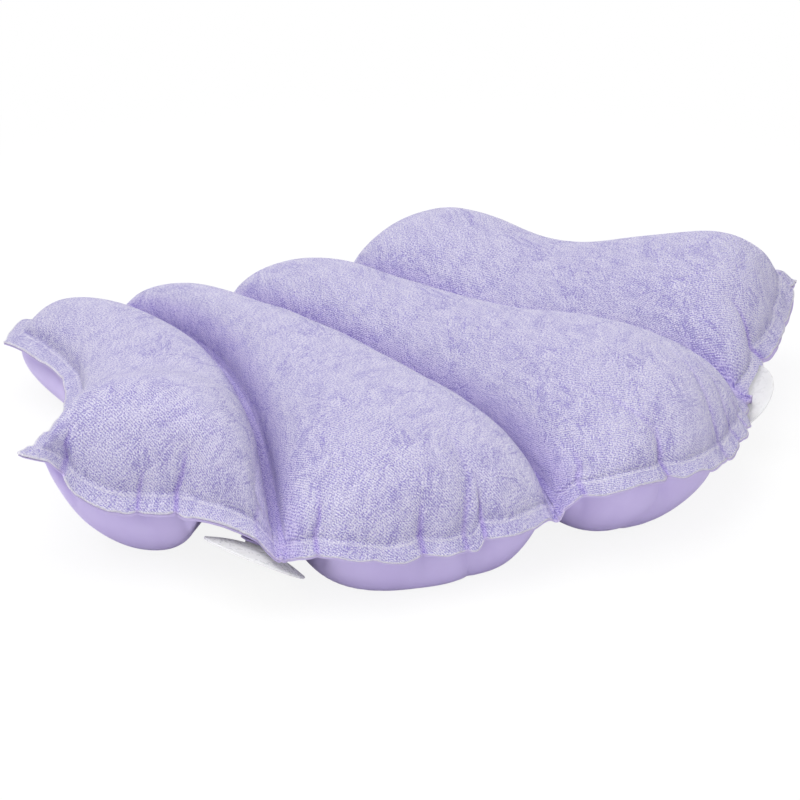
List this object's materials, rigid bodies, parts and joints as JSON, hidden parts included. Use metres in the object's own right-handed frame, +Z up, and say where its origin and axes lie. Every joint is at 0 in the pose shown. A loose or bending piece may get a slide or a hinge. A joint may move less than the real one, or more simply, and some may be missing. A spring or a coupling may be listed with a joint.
{
  "type": "inflatable bath pillow",
  "caption": "Fan-shaped inflatable bath pillow with fat air lobes, a terry top, a smooth film underside, suction cups on tabs and an air valve.",
  "frame": {"origin": "on the floor under the middle of the pillow", "axes": "+X across the pillow, from ear to ear; -Y to the wide scalloped front; +Z up"},
  "size_m": [0.436, 0.3307, 0.0816],
  "materials": {
    "terry": "short-looped lilac terry",
    "film": "satin violet film",
    "clear_vinyl": "translucent grey vinyl",
    "white_vinyl": "soft white vinyl"
  },
  "bodies": {
    "lobe_inner_left": {"terry_panel_inner_left": "terry", "film_panel_inner_left": "film"},
    "lobe_outer_left": {"terry_panel_outer_left": "terry", "film_panel_outer_left": "film"},
    "lobe_inner_right": {"terry_panel_inner_right": "terry", "film_panel_inner_right": "film", "valve_flange": "white_vinyl"},
    "lobe_outer_right": {"terry_panel_outer_right": "terry", "film_panel_outer_right": "film"},
    "cup_tab_left": {"cup_tab_left": "film"},
    "cup_tab_right": {"cup_tab_right": "film"},
    "suction_cup_left": {"suction_cup_left": "clear_vinyl"},
    "suction_cup_right": {"suction_cup_right": "clear_vinyl"},
    "valve_stem": {"valve_stem": "white_vinyl"},
    "valve_plug": {"valve_plug": "white_vinyl"},
    "valve_flap": {"valve_flap": "white_vinyl"}
  },
  "joints": [
    {"name": "fold_left", "type": "hinge", "parent": "lobe_inner_left", "child": "lobe_outer_left", "pos_m": [-0.097, 0.0147, 0.03425], "axis": [0.1911, 0.9815, 0.0075], "range_deg": [0, 25], "stiffness_Nm_per_rad": 0.6},
    {"name": "fold_right", "type": "hinge", "parent": "lobe_inner_right", "child": "lobe_outer_right", "pos_m": [0.07775, 0.00995, 0.0315], "axis": [0.3676, -0.93, 0.004], "range_deg": [0, 25], "stiffness_Nm_per_rad": 0.6},
    {"name": "fold_centre", "type": "hinge", "parent": "lobe_inner_left", "child": "lobe_inner_right", "pos_m": [-0.01375, -0.0093, 0.03225], "axis": [0.0604, -0.9981, 0.0124], "range_deg": [-6, 25], "stiffness_Nm_per_rad": 1.5},
    {"name": "tab_flex_left", "type": "hinge", "parent": "lobe_inner_left", "child": "cup_tab_left", "pos_m": [-0.13524, -0.09933, 0.02578], "axis": [-0.8152, 0.3392, 0.4695], "range_deg": [0, 8], "stiffness_Nm_per_rad": 0.08},
    {"name": "cup_turn_left", "type": "hinge", "parent": "cup_tab_left", "child": "suction_cup_left", "pos_m": [-0.13736, -0.09293, 0.01748], "axis": [0.5387, 0.1463, 0.8297], "continuous": true},
    {"name": "tab_flex_right", "type": "hinge", "parent": "lobe_inner_right", "child": "cup_tab_right", "pos_m": [0.13052, -0.09437, 0.02948], "axis": [-0.7818, -0.4103, -0.4695], "range_deg": [0, 8], "stiffness_Nm_per_rad": 0.08},
    {"name": "cup_turn_right", "type": "hinge", "parent": "cup_tab_right", "child": "suction_cup_right", "pos_m": [0.13207, -0.08781, 0.02118], "axis": [-0.5496, 0.0978, 0.8297], "continuous": true},
    {"name": "valve_pull", "type": "slide", "parent": "lobe_inner_right", "child": "valve_stem", "axis": [-0.002, 0.0048, -1], "range_m": [0, 0.007]},
    {"name": "plug_open", "type": "hinge", "parent": "valve_stem", "child": "valve_plug", "pos_m": [0.04074, 0.00202, 0.00306], "axis": [0.2608, -0.9654, -0.0052], "range_deg": [0, 140]},
    {"name": "flap_lift", "type": "hinge", "parent": "valve_stem", "child": "valve_flap", "pos_m": [0.0371, 0.00098, 0.01401], "axis": [-0.2608, 0.9654, 0.0052], "range_deg": [0, 50]}
  ]
}
